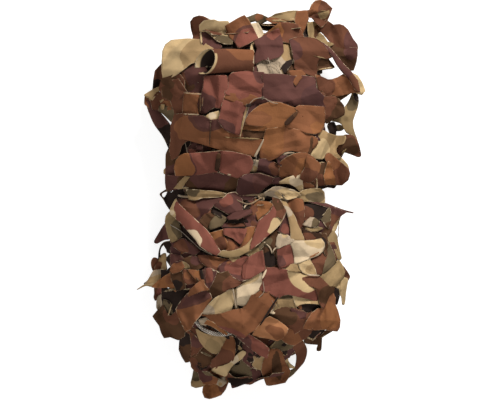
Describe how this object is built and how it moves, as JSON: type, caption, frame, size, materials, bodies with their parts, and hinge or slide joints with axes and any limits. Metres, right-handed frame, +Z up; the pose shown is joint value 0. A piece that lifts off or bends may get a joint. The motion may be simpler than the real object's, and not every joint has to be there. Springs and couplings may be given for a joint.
{
  "type": "camouflage netting",
  "caption": "Leaf-cut camouflage netting folded to a bundle and drawn in at the waist by a cord tie, printed in rust, maroon and sand, lying on its back.",
  "frame": {"origin": "middle of the bundle's bounding box on the surface that it lies on", "axes": "+Y up the bundle's length, +X to its right as it is seen from above, +Z up out of its face"},
  "size_m": [0.2295, 0.3982, 0.113],
  "materials": {
    "garnish_cloth": "coated polyester garnish cloth, camouflage print, slight sheen",
    "tie_yarn": "twisted cord, matt",
    "rope_braid": "braided rope, matt"
  },
  "bodies": {
    "root": {"netting": "garnish_cloth", "tie_cord": "tie_yarn", "border_rope": "rope_braid"}
  },
  "joints": []
}
